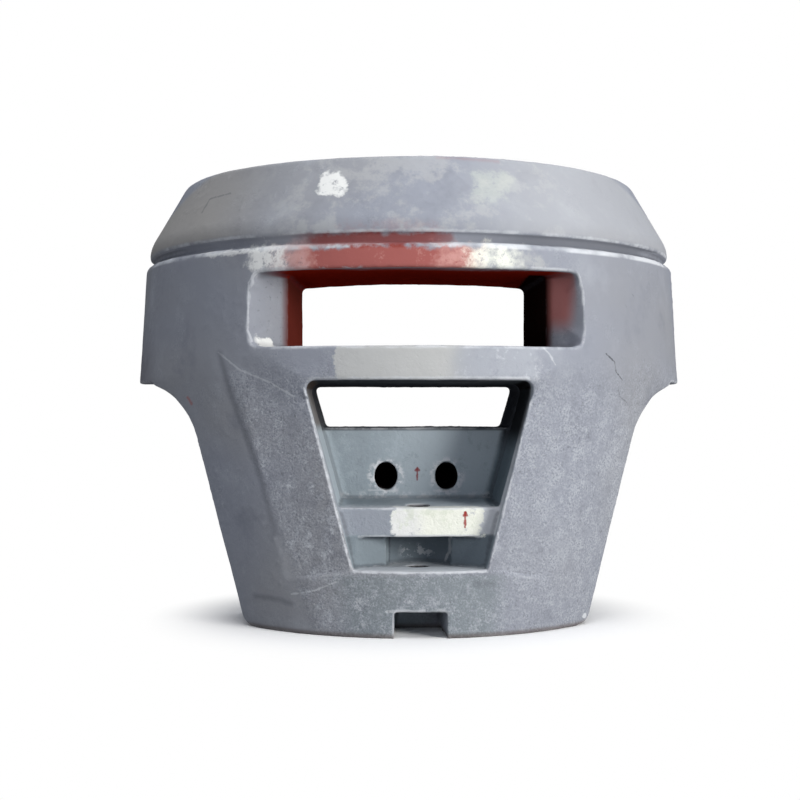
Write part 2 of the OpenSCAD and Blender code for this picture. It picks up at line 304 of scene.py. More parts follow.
points = coordinates(casting.data)
normals = np.empty(len(casting.data.vertices) * 3, np.float32)
casting.data.vertices.foreach_get("normal", normals)
everywhere = np.ones(len(points))
around = relax(points, edge_pairs(casting.data), everywhere, EDGE_PASSES)
stand_out = ((points - around) * normals.reshape(-1, 3)).sum(1)
for name, sign in (("edge_wear_and_highlight", 1), ("corner_grime_and_shade", -1)):
    attribute = casting.data.attributes.new(name, "FLOAT", "POINT")
    attribute.data.foreach_set("value", np.clip(sign * stand_out / EDGE_FULL, 0, 1).astype(np.float32))
print("edge points:", int((stand_out > 0.5 * EDGE_FULL).sum()))

# %% [markdown]
# ## The skin of the casting
# Sand gives iron a skin: slow waves where the mould wall gave way, lumps as big as a thumb, and
# pimples where grains fell out. They follow a rule, so Geometry Nodes make them: the tree moves
# each point along its normal by three noises, and its inputs are the heights and lengths.

# %% The skin's node tree
def skin_tree(material):
    """Moves a surface along its normals by waves, lumps and pimples."""
    tree = bpy.data.node_groups.new("cast_skin", "GeometryNodeTree")
    tree.interface.new_socket("Geometry", in_out="INPUT", socket_type="NodeSocketGeometry")
    for name in SKIN_SIZES:
        tree.interface.new_socket(name, in_out="INPUT", socket_type="NodeSocketFloat")
    tree.interface.new_socket("Geometry", in_out="OUTPUT", socket_type="NodeSocketGeometry")
    nodes, link = tree.nodes, tree.links.new
    entry = nodes.new("NodeGroupInput")
    result = nodes.new("NodeGroupOutput")
    place = nodes.new("GeometryNodeInputPosition")
    normal = nodes.new("GeometryNodeInputNormal")

    def math_node(kind, a, b):
        node = nodes.new("ShaderNodeMath")
        node.operation = kind
        for socket, value in zip(node.inputs, (a, b)):
            if isinstance(value, (int, float)):
                socket.default_value = value
            else:
                link(value, socket)
        return node.outputs[0]

    def noise(length, detail):
        node = nodes.new("ShaderNodeTexNoise")
        node.noise_dimensions = "4D"
        node.inputs["W"].default_value = SKIN_SEED
        node.inputs["Detail"].default_value = detail
        link(place.outputs[0], node.inputs["Vector"])
        link(math_node("DIVIDE", 1.0, length), node.inputs["Scale"])
        return node.outputs[0]

    waves = math_node("SUBTRACT", noise(entry.outputs["Wave length"], 1.0), 0.5)
    lumps = math_node("SUBTRACT", noise(entry.outputs["Lump length"], 2.0), 0.5)
    grains = math_node("SUBTRACT", noise(entry.outputs["Pimple length"], 0.0), 0.58)
    grains = math_node("MAXIMUM", grains, 0.0)
    where = math_node("SUBTRACT", noise(entry.outputs["Wave length"], 3.0), 0.45)
    grains = math_node("MULTIPLY", grains, math_node("MAXIMUM", where, 0.0))
    height = math_node("MULTIPLY", waves, entry.outputs["Wave height"])
    height = math_node("ADD", height, math_node("MULTIPLY", lumps, entry.outputs["Lump height"]))
    height = math_node("ADD", height, math_node("MULTIPLY", grains, entry.outputs["Pimple height"]))
    offset = nodes.new("ShaderNodeVectorMath")
    offset.operation = "SCALE"
    link(normal.outputs[0], offset.inputs[0])
    link(height, offset.inputs["Scale"])
    moved = nodes.new("GeometryNodeSetPosition")
    link(entry.outputs["Geometry"], moved.inputs["Geometry"])
    link(offset.outputs[0], moved.inputs["Offset"])
    real = nodes.new("GeometryNodeRealizeInstances")
    link(moved.outputs[0], real.inputs[0])
    coat = nodes.new("GeometryNodeSetMaterial")
    coat.inputs["Material"].default_value = material
    link(real.outputs[0], coat.inputs["Geometry"])
    link(coat.outputs[0], result.inputs[0])
    return tree


SKIN_SEED = 7.0
SKIN_SIZES = {
    "Wave height": 3.2 * MM,
    "Wave length": 170 * MM,
    "Lump height": 1.5 * MM,
    "Lump length": 34 * MM,
    "Pimple height": 26 * MM,
    "Pimple length": 10 * MM,
}
print("skin sizes:", ", ".join(SKIN_SIZES))

# %% [markdown]
# ## Tools for the paint
# The finish is one procedural material, because the casting is one piece. Everything reads Object
# coordinates, so the paint stays where it is from any side. A few small helpers keep the node
# tree readable: sums, noises, soft steps, a patch, which is a box with a ragged edge, and a stroke,
# which is a line through a few corners. All patches share one noise for their edges, and all strokes
# another, which keeps the render fast.

# %% A small kit for shader nodes
coat_material = bpy.data.materials.new("primed_cast_iron")
coat_material.use_nodes = True
shade = coat_material.node_tree
shade.nodes.clear()


def plug(value, socket):
    """Links a socket, or writes a plain value."""
    if isinstance(value, bpy.types.NodeSocket):
        shade.links.new(value, socket)
    else:
        socket.default_value = value


def calc(kind, a, b=0.0):
    node = shade.nodes.new("ShaderNodeMath")
    node.operation = kind
    plug(a, node.inputs[0])
    plug(b, node.inputs[1])
    return node.outputs[0]


def step(value, start, end):
    """Goes softly from 0 to 1 while the value goes from start to end."""
    node = shade.nodes.new("ShaderNodeMapRange")
    node.interpolation_type = "SMOOTHSTEP"
    plug(value, node.inputs["Value"])
    node.inputs["From Min"].default_value = start
    node.inputs["From Max"].default_value = end
    return node.outputs["Result"]


def product(*factors):
    result = factors[0]
    for factor in factors[1:]:
        result = calc("MULTIPLY", result, factor)
    return result


def noise(length, detail, roughness, seed):
    """A cloud between 0 and 1 whose largest lumps are as long as given, in metres."""
    mapping = shade.nodes.new("ShaderNodeMapping")
    mapping.inputs["Scale"].default_value = (1 / length,) * 3
    mapping.inputs["Location"].default_value = (seed, 2.7 * seed, -1.3 * seed)
    shade.links.new(object_place, mapping.inputs["Vector"])
    node = shade.nodes.new("ShaderNodeTexNoise")
    node.inputs["Scale"].default_value = 1.0
    node.inputs["Detail"].default_value = detail
    node.inputs["Roughness"].default_value = roughness
    shade.links.new(mapping.outputs[0], node.inputs["Vector"])
    return node.outputs[0]


def mix(under, over, mask):
    """Lays one colour over another where the mask says."""
    node = shade.nodes.new("ShaderNodeMix")
    node.data_type = "RGBA"
    plug(mask, node.inputs["Factor"])
    plug(under, node.inputs["A"])
    plug(over, node.inputs["B"])
    return node.outputs["Result"]


def srgb(red, green, blue):
    """A paint colour as it is read off a screen, 0 to 255, turned into light."""
    def linear(value):
        value /= 255
        return value / 12.92 if value < 0.04045 else ((value + 0.055) / 1.055) ** 2.4
    return (linear(red), linear(green), linear(blue), 1.0)


texture_place = shade.nodes.new("ShaderNodeTexCoord")
object_place = texture_place.outputs["Object"]
split = shade.nodes.new("ShaderNodeSeparateXYZ")
shade.links.new(object_place, split.inputs[0])
place_x, place_y, place_z = split.outputs
flatten = shade.nodes.new("ShaderNodeCombineXYZ")
shade.links.new(place_x, flatten.inputs["X"])
shade.links.new(place_z, flatten.inputs["Z"])
face_place = flatten.outputs[0]
NOISE_SPREAD = 5
patch_wobble = calc("SUBTRACT", noise(0.028, 5.0, 0.68, 4.0), 0.5)
line_wobble = calc("SUBTRACT", noise(0.012, 4.0, 0.68, 20.0), 0.5)


def ragged_step(outside, soft, ragged, wobble):
    """1 where a distance is below zero, with an edge that wanders as far as given, in millimetres."""
    outside = calc("ADD", outside, calc("MULTIPLY", wobble, NOISE_SPREAD * ragged * MM))
    return step(outside, soft * MM, -soft * MM)


def patch(x_range, z_range, soft=3, ragged=10, corner=14):
    """A box with round corners on the rear face, in millimetres, with an edge as ragged as given."""
    sides = []
    for axis, (start, end) in ((place_x, x_range), (place_z, z_range)):
        middle = (start + end) / 2 * MM
        away = calc("ABSOLUTE", calc("SUBTRACT", axis, middle))
        beyond = calc("SUBTRACT", away, ((end - start) / 2 - corner) * MM)
        sides.append(calc("MAXIMUM", beyond, 0.0))
    round_off = calc("SQRT", calc("ADD", product(sides[0], sides[0]), product(sides[1], sides[1])))
    return ragged_step(calc("SUBTRACT", round_off, corner * MM), soft, ragged, patch_wobble)


def vector_calc(kind, a, b):
    node = shade.nodes.new("ShaderNodeVectorMath")
    node.operation = kind
    plug(a, node.inputs[0])
    plug(b, node.inputs["Scale"] if kind == "SCALE" else node.inputs[1])
    return node.outputs["Value"] if kind in ("DOT_PRODUCT", "DISTANCE") else node.outputs[0]


def stroke(corners, width, soft=1.0, ragged=1.5):
    """A line through corners on the rear face, [x, z] in millimetres, as wide as given."""
    nearest = None
    for (x0, z0), (x1, z1) in zip(corners, corners[1:]):
        start = Vector((x0, 0, z0)) * MM
        run = Vector((x1 - x0, 0, z1 - z0)) * MM
        from_start = vector_calc("SUBTRACT", face_place, start)
        along = vector_calc("DOT_PRODUCT", from_start, run / run.length_squared)
        along = calc("MINIMUM", calc("MAXIMUM", along, 0.0), 1.0)
        foot_point = vector_calc("ADD", vector_calc("SCALE", tuple(run), along), start)
        away = vector_calc("DISTANCE", face_place, foot_point)
        nearest = away if nearest is None else calc("MINIMUM", nearest, away)
    return ragged_step(calc("SUBTRACT", nearest, width / 2 * MM), soft, ragged, line_wobble)


def attribute_value(name):
    node = shade.nodes.new("ShaderNodeAttribute")
    node.attribute_name = name
    return node.outputs["Fac"]


print("helpers ready")

# %% [markdown]
# ## Zones of the casting
# Some finishes belong to a place: the inside of a window, the bolting plate, the jaw. Each zone
# is a mask from the same sizes that the solid has, in metres. Depth is measured from the drum's
# leaning wall, so the mask of an inside starts where the wall turns in. Masks for the rear also end
# at a depth, or the paint would come through to the truck side.

# %% Masks for the insides
RECESS_LEAN = 14.9
RECESS_FOOT_HALF = 90.5 * MM
PIN_Y = REAR_Y + 98 * MM

reach = calc("SUBTRACT", DRUM_RADIUS ** 2, calc("MULTIPLY", place_x, place_x))
drum_line = calc("SUBTRACT", DRUM_RADIUS + REAR_Y, calc("SQRT", calc("MAXIMUM", reach, 0.0)))
above_wing = calc("MAXIMUM", calc("SUBTRACT", place_z, WING_Z), 0.0)
lean = calc("MULTIPLY", above_wing, math.tan(math.radians(DRUM_LEAN)))
behind_wall = calc("SUBTRACT", calc("SUBTRACT", place_y, drum_line), lean)
sideways = calc("ABSOLUTE", place_x)

near_rear = step(behind_wall, 0.13, 0.11)
rear_side = step(place_y, 0.050, 0.045)
window_height = product(rear_side, step(place_z, 0.514, 0.522), step(place_z, 0.668, 0.662))
inside_window = product(window_height, step(behind_wall, 0.008, 0.022), step(sideways, 0.335, 0.325))
throat = product(window_height, step(place_y, -0.146, -0.126), step(sideways, 0.260, 0.250))
below_bar = step(place_z, 0.468, 0.460)
widening = calc("MULTIPLY", place_z, math.tan(math.radians(RECESS_LEAN)))
recess_half = calc("ADD", widening, RECESS_FOOT_HALF)
in_recess = product(step(calc("SUBTRACT", sideways, recess_half), 0.004, -0.006), below_bar,
                    step(place_z, 0.112, 0.122), step(behind_wall, 0.006, 0.030), rear_side)
on_plate = product(in_recess, step(place_y, -0.100, -0.093), step(place_z, 0.234, 0.240))
in_slot = product(in_recess, step(place_z, 0.182, 0.174), step(place_y, -0.262, -0.235))
across_hole = calc("SUBTRACT", sideways, BOLT_HALF_SPACING)
up_hole = calc("SUBTRACT", place_z, BOLT_Z)
from_bolt = calc("SQRT", calc("ADD", product(across_hole, across_hole), product(up_hole, up_hole)))
in_bolt_hole = product(step(from_bolt, 0.0270, 0.0245), step(place_y, -0.089, -0.082),
                       step(place_y, 0.070, 0.050))
behind_pin = calc("SUBTRACT", place_y, PIN_Y)
from_pin = calc("SQRT", calc("ADD", product(place_x, place_x), product(behind_pin, behind_pin)))
in_pin_bore = product(step(from_pin, 0.0225, 0.0210), step(place_z, 0.250, 0.236))
in_groove = product(step(place_z, 0.704, 0.709), step(place_z, 0.727, 0.722),
                    step(behind_wall, 0.005, 0.011), step(behind_wall, 0.036, 0.030))
outer_wall = calc("MAXIMUM", step(behind_wall, 0.014, 0.006),
                  product(step(place_z, 0.700, 0.706), near_rear))
on_band = product(step(place_z, 0.724, 0.734), near_rear)
right_wall = product(in_recess, step(calc("SUBTRACT", place_x, recess_half), -0.030, -0.016))
left_wall = product(in_recess, step(calc("ADD", place_x, recess_half), 0.030, 0.016))
on_groove_lip = product(step(place_z, 0.694, 0.698), step(place_z, 0.709, 0.706),
                        step(behind_wall, 0.024, 0.018))
print("zones: window, throat, recess, plate, slot, holes, groove")

# %% [markdown]
# ## The primer
# The coat is a blue-grey primer over dark iron. A single grey would look like plastic. Thin and
# thick paint, sand specks and rubbed spots come from noises of different lengths, each with a
# small share, so that none of them shows as a pattern.

# %% The coat of primer
PRIMER = srgb(143, 147, 157)
PRIMER_LIGHT = srgb(166, 170, 178)
PRIMER_DARK = srgb(118, 121, 131)
PRIMER_WARM = srgb(147, 149, 154)
BAND_WARM = srgb(158, 155, 150)
BAND_PALE_AND_LIT = srgb(176, 177, 178)
LIP_GREEN = srgb(126, 135, 139)
PLATE_GREY = srgb(150, 161, 169)
PLATE_PALE_AND_LIT = srgb(176, 187, 195)
RECESS_SHADE = srgb(104, 116, 124)
SLOT_GREY = srgb(122, 132, 139)
SLOT_SHADE = srgb(106, 116, 124)
DARK_IRON_AND_SHADE = srgb(62, 64, 70)
CHALK_AND_HIGHLIGHT = srgb(206, 209, 214)
FLANK_SLOPE = 0.353

wander = calc("MULTIPLY", calc("SUBTRACT", noise(0.16, 3.0, 0.6, 1.7), 0.5), 0.22)
lower_body = step(calc("ADD", place_z, wander), 0.53, 0.43)
left_flank = step(calc("ADD", place_x, calc("MULTIPLY", place_z, FLANK_SLOPE)), -0.178, -0.200)
rough_skin = product(lower_body, calc("SUBTRACT", 1.0, product(left_flank, 0.85)))
rough_skin = calc("MAXIMUM", rough_skin, product(step(noise(0.09, 3.0, 0.6, 2.9), 0.50, 0.66), 0.35))
chalky = product(step(place_x, 0.08, -0.12), step(place_z, 0.47, 0.40), rough_skin)
broad = noise(0.42, 2.0, 0.5, 3.1)
patches = noise(0.11, 4.0, 0.6, 5.2)
flecks = noise(0.012, 3.0, 0.6, 8.4)
specks = noise(0.0060, 4.0, 0.66, 2.2)
rubs = noise(0.034, 6.0, 0.76, 9.3)
grit = noise(0.0036, 2.0, 0.6, 6.1)

colour = mix(PRIMER, PRIMER_WARM, step(broad, 0.42, 0.66))
colour = mix(colour, PRIMER_LIGHT, product(step(patches, 0.52, 0.78), 0.55))
colour = mix(colour, PRIMER_DARK, product(step(patches, 0.46, 0.26), 0.50))
lip = product(step(place_z, 0.118, 0.104), step(sideways, 0.20, 0.11), outer_wall)
colour = mix(colour, LIP_GREEN, product(lip, 0.75))
sanded = product(on_band, step(sideways, 0.34, 0.20), step(noise(0.06, 5.0, 0.68, 9.9), 0.47, 0.62))
colour = mix(colour, BAND_PALE_AND_LIT, product(sanded, 0.45))
colour = mix(colour, PRIMER_LIGHT, product(step(flecks, 0.54, 0.70), rough_skin, 0.55))
colour = mix(colour, DARK_IRON_AND_SHADE, product(step(flecks, 0.40, 0.27), rough_skin, 0.32))
colour = mix(colour, PRIMER_LIGHT, product(step(rubs, 0.50, 0.62), rough_skin, 0.45))
colour = mix(colour, PRIMER_DARK, product(step(rubs, 0.45, 0.33), rough_skin, 0.40))
grit_share = product(rough_skin, calc("ADD", product(step(rubs, 0.36, 0.60), 0.60), 0.15))
colour = mix(colour, PRIMER_LIGHT, product(step(grit, 0.48, 0.66), grit_share))
colour = mix(colour, PRIMER_DARK, product(step(grit, 0.50, 0.32), grit_share))
speck_share = calc("ADD", product(chalky, 0.45), 0.22)
pale_specks = product(step(specks, 0.60, 0.72), step(rubs, 0.42, 0.56))
colour = mix(colour, CHALK_AND_HIGHLIGHT, product(pale_specks, rough_skin, speck_share))
colour = mix(colour, CHALK_AND_HIGHLIGHT, product(step(rubs, 0.57, 0.68), chalky, 0.50))
colour = mix(colour, DARK_IRON_AND_SHADE, product(step(specks, 0.37, 0.27), rough_skin, 0.28))
colour = mix(colour, PRIMER_DARK, product(step(place_x, 0.24, 0.42), step(place_z, 0.30, 0.50), 0.35))
# Painted light: the band's right side, which faces the lamp, is painted paler.
colour = mix(colour, BAND_PALE_AND_LIT, product(on_band, step(place_x, 0.02, 0.24), 0.38))
colour = mix(colour, BAND_WARM, product(on_band, step(place_x, -0.24, -0.42), 0.75))
colour = mix(colour, PLATE_GREY, product(in_recess, 0.92))
# Painted light: the right part of the recess is painted paler, where the right wall's shadow falls.
colour = mix(colour, PLATE_PALE_AND_LIT, product(in_recess, step(place_x, -0.10, 0.06), 0.85))
colour = mix(colour, RECESS_SHADE, right_wall)
# Painted light: the recess's left wall, which faces the lamp at the right, is painted paler.
colour = mix(colour, PLATE_PALE_AND_LIT, product(left_wall, 0.7))
slab_front = product(in_recess, step(place_y, -0.205, -0.214), step(place_z, 0.174, 0.182))
colour = mix(colour, PRIMER, product(slab_front, 0.75))
# Painted light: the slab's right end, which the right wall shades, is painted pale.
colour = mix(colour, CHALK_AND_HIGHLIGHT, product(slab_front, step(place_x, 0.100, 0.114), 0.75))
colour = mix(colour, SLOT_GREY, product(in_slot, 0.9))
# Painted shade: the back of the jaw, right of its left wall, is painted darker.
slot_back_shade = product(in_slot, step(place_x, -0.056, -0.052), step(place_z, 0.122, 0.126))
colour = mix(colour, SLOT_SHADE, product(slot_back_shade, 0.9))
in_notch = product(step(place_z, 0.050, 0.046), step(sideways, 0.054, 0.050),
                   step(place_y, -0.262, -0.250), step(place_y, -0.110, -0.120))
colour = mix(colour, PLATE_PALE_AND_LIT, product(in_notch, step(place_x, 0.050, -0.040)))
print("primer laid")

# %% [markdown]
# ## Red oxide, filler and patches
# The upper window was painted with red oxide before the grey, and its spray reaches the wall
# above. Filler closed some flaws and was rubbed down, which left it white.

# %% Red oxide and filler
RED_OXIDE = srgb(128, 52, 44)
RED_DEEP = srgb(122, 26, 12)
RED_WALL = srgb(94, 33, 23)
RED_BROWN = srgb(172, 104, 98)
RED_PALE = srgb(158, 90, 85)
RED_PINK = srgb(206, 160, 154)
# The next colour is a painted shade, a near-black for insides that lie in shade.
SHADE_BLACK = srgb(16, 9, 9)
BROWN = srgb(92, 78, 70)
# The next colour is a painted shade for the groove.
GROOVE_SHADE = srgb(128, 131, 140)
FILLER = srgb(230, 231, 229)
FILLER_YELLOW = srgb(236, 238, 226)
FILLER_GREEN = srgb(206, 213, 196)
PATCH_GREY = srgb(182, 183, 182)
FLARE_ROOT_Y = -130 * MM
CEILING_SLOPE = -0.062
CEILING_DROP = -12 * MM

bar_end = calc("ADD", place_x, calc("MULTIPLY", wander, 0.4))
# Painted shade: the groove is painted darker, and darker still on its right.
colour = mix(colour, GROOVE_SHADE, product(in_groove, 0.6))
colour = mix(colour, DARK_IRON_AND_SHADE, product(in_groove, step(place_x, 0.06, 0.20), 0.45))
colour = mix(colour, DARK_IRON_AND_SHADE, product(inside_window, step(specks, 0.40, 0.30), 0.35))
# Painted highlight: the groove's lower lip, which faces up, is painted pale in patches.
colour = mix(colour, CHALK_AND_HIGHLIGHT, product(on_groove_lip, step(patches, 0.40, 0.60), 0.75))
strip_end = calc("ADD", place_x, calc("MULTIPLY", patch_wobble, 0.09))
strip = product(patch((-270, 100), (655, 697), soft=5, ragged=7), step(strip_end, -0.250, -0.195),
                outer_wall)
colour = mix(colour, RED_PALE, product(strip, 0.96))
colour = mix(colour, RED_PINK, product(strip, step(rubs, 0.56, 0.66), 0.35))
groove_red = product(patch((-240, 60), (700, 724), soft=5, ragged=6), near_rear)
groove_red = product(groove_red, step(strip_end, -0.250, -0.170), step(bar_end, 0.12, 0.00))
colour = mix(colour, RED_OXIDE, product(groove_red, 0.8))
band_red = product(patch((-150, 40), (720, 742), soft=10, ragged=10), near_rear)
colour = mix(colour, RED_PALE, product(band_red, step(rubs, 0.40, 0.56), 0.15))
colour = mix(colour, RED_WALL, product(throat, 0.98))
flare_red = product(inside_window, step(place_x, 0.225, 0.250), step(place_z, 0.540, 0.585),
                    step(calc("SUBTRACT", place_x, calc("MULTIPLY", place_z, 0.1)), 0.243, 0.215))
colour = mix(colour, RED_BROWN, product(flare_red, 0.85))
past_root = calc("SUBTRACT", place_y, FLARE_ROOT_Y)
ceiling_fall = calc("MAXIMUM", calc("MULTIPLY", past_root, CEILING_SLOPE), CEILING_DROP)
ceiling = product(inside_window, step(calc("SUBTRACT", place_z, ceiling_fall), 0.650, 0.656))
colour = mix(colour, RED_DEEP, product(ceiling, step(sideways, 0.300, 0.240)))
# Painted shade: the right inner wall of the window's tunnel, the upper part of the recess's right wall
# and the recess's head are painted near-black.
colour = mix(colour, SHADE_BLACK, product(throat, step(place_x, 0.205, 0.215), 0.97))
colour = mix(colour, SHADE_BLACK, product(right_wall, step(place_z, 0.320, 0.375), 0.9))
colour = mix(colour, SHADE_BLACK, product(in_recess, step(place_z, 0.441, 0.447), 0.85))
colour = mix(colour, BROWN, product(left_wall, step(place_z, 0.362, 0.384), 0.75))

thin = step(noise(0.016, 5.0, 0.7, 37.0), 0.30, 0.48)
for x_range, z_range, tint, share, soft, ragged in (
    ((-272, -200), (662, 700), RED_PINK, 0.75, 20, 12),
    ((-312, -244), (664, 706), FILLER, 0.92, 11, 14),
    ((-400, -300), (694, 705), FILLER, 0.65, 3, 7),
    ((30, 116), (662, 696), RED_PINK, 0.70, 18, 16),
    ((88, 176), (662, 697), FILLER_YELLOW, 0.85, 16, 18),
    ((170, 222), (664, 692), PATCH_GREY, 0.50, 14, 18),
    ((-183, -135), (797, 844), FILLER, 0.90, 4, 9),
    ((98, 170), (786, 848), FILLER_GREEN, 0.24, 12, 16),
):
    spread = product(patch(x_range, z_range, soft, ragged), thin, outer_wall)
    colour = mix(colour, tint, product(spread, share))
flare_foot = calc("MAXIMUM", patch((-298, -270), (510, 538), 4, 12, 8),
                  patch((-290, -248), (510, 524), 4, 10, 6))
colour = mix(colour, FILLER, product(flare_foot, inside_window, 0.9))
bar_patch = product(patch((-152, 200), (455, 525)), step(bar_end, 0.13, 0.03))
colour = mix(colour, PATCH_GREY, product(bar_patch, outer_wall, 0.88))
bar_pale = product(patch((60, 216), (462, 522), soft=14, ragged=14), outer_wall)
colour = mix(colour, PRIMER_LIGHT, product(bar_pale, step(bar_end, 0.03, 0.12), 0.75))
colour = mix(colour, CHALK_AND_HIGHLIGHT, product(bar_pale, step(rubs, 0.55, 0.66), 0.5))
worn_end = calc("MAXIMUM", thin, step(place_x, 0.096, 0.070))
slab = product(patch((-48, 113), (166, 234), 3, 12), worn_end, step(place_y, -0.196, -0.206),
               step(place_z, 0.172, 0.178))
colour = mix(colour, FILLER, product(slab, 0.95))
colour = mix(colour, FILLER_YELLOW, product(slab, step(place_x, -0.020, 0.020), 0.8))
colour = mix(colour, FILLER_GREEN, product(slab, step(rubs, 0.50, 0.64), 0.55))
colour = mix(colour, PRIMER_LIGHT, product(slab, step(rubs, 0.42, 0.32), 0.5))
print("patches laid")

# %% [markdown]
# ## Marks
# A checker's two red arrows, hair cracks, pale scratches and a painted dot are strokes on the rear
# face.
# So are pale lines along edges, which are painted highlights with some worn paint, and soft dark lines
# in creases and down the jaw's left corner, which are painted shade. Each row gives the corners and
# the width in millimetres, then the tint, how much of it covers, and how soft its edge is. Chips round
# the holes come from a noise instead.

# %% Strokes
RED_MARK = srgb(150, 48, 44)
RED_DULL = srgb(128, 58, 60)
CREASE_SHADE_AND_CRACK = srgb(92, 94, 102)

# Most pale rows lie along edges and are painted highlights; the soft dark rows and the dark line down
# the jaw's left corner are painted shade.
marks = (
    (((-209, 445), (-126, 128)), 2.6, CHALK_AND_HIGHLIGHT, 0.95, 1),
    (((-118, 118), (116, 118)), 5.0, CHALK_AND_HIGHLIGHT, 0.50, 1),
    (((-110, 176), (112, 176)), 4.0, CHALK_AND_HIGHLIGHT, 0.40, 1),
    (((-140, 228), (138, 228)), 4.0, CHALK_AND_HIGHLIGHT, 0.40, 1),
    (((-62, 48), (6, 49)), 5.0, CHALK_AND_HIGHLIGHT, 0.45, 1),
    (((-190, 462), (196, 463)), 5.0, CHALK_AND_HIGHLIGHT, 0.30, 1),
    (((-250, 520), (-120, 520)), 4.0, CHALK_AND_HIGHLIGHT, 0.45, 1),
    (((-284, 667), (-303, 658), (-313, 640), (-314, 552), (-306, 532)), 3.0, CHALK_AND_HIGHLIGHT, 0.45, 1),
    (((2, 293), (2, 273)), 4.6, RED_DULL, 0.85, 1),
    (((-1, 290), (2, 295), (5, 291)), 5.0, RED_DULL, 0.80, 1),
    (((83, 219), (83, 193)), 3.6, RED_MARK, 0.90, 1),
    (((81, 214), (83, 219), (86, 214)), 4.6, RED_MARK, 0.85, 1),
    (((353, 511), (372, 496), (375, 478), (390, 462)), 1.6, DARK_IRON_AND_SHADE, 0.75, 1),
    (((380, 448), (384, 432), (402, 420)), 1.6, DARK_IRON_AND_SHADE, 0.40, 1),
    (((222, 521), (236, 508), (248, 488)), 2.6, CHALK_AND_HIGHLIGHT, 0.45, 1),
    (((-372, 513), (-330, 480), (-270, 455), (-228, 430)), 3.0, CHALK_AND_HIGHLIGHT, 0.40, 1),
    (((-370, 512), (-345, 430), (-288, 280), (-262, 180)), 10.0, CREASE_SHADE_AND_CRACK, 0.42, 6),
    (((-232, 71), (-190, 80), (-151, 98)), 3.0, CHALK_AND_HIGHLIGHT, 0.45, 1),
    (((-300, 60), (-262, 60), (-232, 53)), 9.0, CREASE_SHADE_AND_CRACK, 0.40, 5),
    (((-90, 253), (-36, 252)), 4.0, CHALK_AND_HIGHLIGHT, 0.45, 1),
    (((34, 252), (84, 250)), 4.0, CHALK_AND_HIGHLIGHT, 0.40, 1),
    (((317, 16), (318, 17)), 9.0, CHALK_AND_HIGHLIGHT, 0.80, 1),
    (((-438, 430), (-430, 418)), 5.0, RED_PALE, 0.55, 2),
    (((100, 96), (128, 94)), 12.0, CREASE_SHADE_AND_CRACK, 0.35, 6),
    (((-415, 790), (-400, 818), (-356, 822)), 3.0, CREASE_SHADE_AND_CRACK, 0.40, 1),
    (((35, 872), (150, 869)), 5.0, RED_PALE, 0.20, 4),
    (((59, 172), (58, 142), (51, 124)), 3.5, CHALK_AND_HIGHLIGHT, 0.50, 1),
    (((-53, 174), (-53, 124)), 3.0, DARK_IRON_AND_SHADE, 0.50, 1),
)
reached = calc("MAXIMUM", step(place_y, -0.02, -0.05), product(on_band, step(place_y, 0.12, 0.10)))
for corners, width, tint, share, soft in marks:
    line = stroke(corners, width, soft)
    colour = mix(colour, tint, product(line, share, reached))
chip_noise = noise(0.013, 4.0, 0.7, 41.0)
colour = mix(colour, PLATE_PALE_AND_LIT, product(on_plate, step(rubs, 0.52, 0.64), 0.30))
colour = mix(colour, SLOT_GREY, product(on_plate, step(rubs, 0.44, 0.34), 0.30))
chipped = product(on_plate, step(chip_noise, 0.46, 0.57))
colour = mix(colour, CHALK_AND_HIGHLIGHT, product(chipped, step(from_bolt, 0.040, 0.029), 0.9))
colour = mix(colour, CHALK_AND_HIGHLIGHT, product(chipped, step(place_z, 0.254, 0.244), 0.5))
colour = mix(colour, DARK_IRON_AND_SHADE, product(on_plate, step(place_z, 0.365, 0.369), 0.8))
chips = product(in_slot, step(chip_noise, 0.50, 0.58), step(sideways, 0.040, 0.020))
chips = product(chips, step(place_z, 0.126, 0.136), step(place_z, 0.158, 0.148))
colour = mix(colour, CHALK_AND_HIGHLIGHT, product(chips, 0.5))
# Painted shade: the bolt holes, the pin bore and the wall round the holes' far ends are painted
# near-black.
behind_holes = product(step(from_bolt, 0.036, 0.032), step(place_y, 0.070, 0.090),
                       step(place_y, 0.124, 0.119))
colour = mix(colour, SHADE_BLACK, calc("MAXIMUM", calc("MAXIMUM", in_bolt_hole, in_pin_bore), behind_holes))
print("marks:", len(marks))

# %% [markdown]
# ## Wear, dirt, painted highlights and painted shade
# Edges lose their paint and show pale scuffs, which also serve as painted highlights. Corners are
# painted darker, as dirt and as painted shade. The foot's lowest strip and the left wing's end are
# painted brown.
# Scuffs and dark corners follow the measured edges, and brown the place.

# %% Wear, dirt, painted highlights and painted shade
worn_and_lit_edges = step(attribute_value("edge_wear_and_highlight"), 0.30, 0.85)
# Worn paint and painted highlight: edges are painted pale in patches.
scuff_and_highlight = product(worn_and_lit_edges, step(noise(0.05, 4.0, 0.65, 14.0), 0.38, 0.62))
colour = mix(colour, CHALK_AND_HIGHLIGHT, product(scuff_and_highlight, calc("SUBTRACT", 1.0, strip), 0.55))
# Dirt and painted shade: corners are painted darker.
grime_and_shade = step(attribute_value("corner_grime_and_shade"), 0.25, 0.9)
colour = mix(colour, DARK_IRON_AND_SHADE, product(grime_and_shade, calc("SUBTRACT", 1.0, in_groove), 0.45))
wing_foot = product(step(place_x, -0.50, -0.57), step(place_z, 0.60, 0.47))
colour = mix(colour, BROWN, product(wing_foot, 0.35))
foot = step(place_z, 0.012, 0.003)
colour = mix(colour, BROWN, product(foot, 0.6))
print("wear laid")

# %% [markdown]
# ## The surface itself
# Roughness and bump finish the coat. The bump has three layers: the fine grain of the sand, coarser
# lumps, and open pits. Where the coat was rubbed smooth, only a small share of them is left.

# %% Bump, roughness and the shader
GRAIN_HEIGHT = 2.6 * MM
PIT_SHARE = 0.15
SMOOTH_COAT_SHARE = 0.15

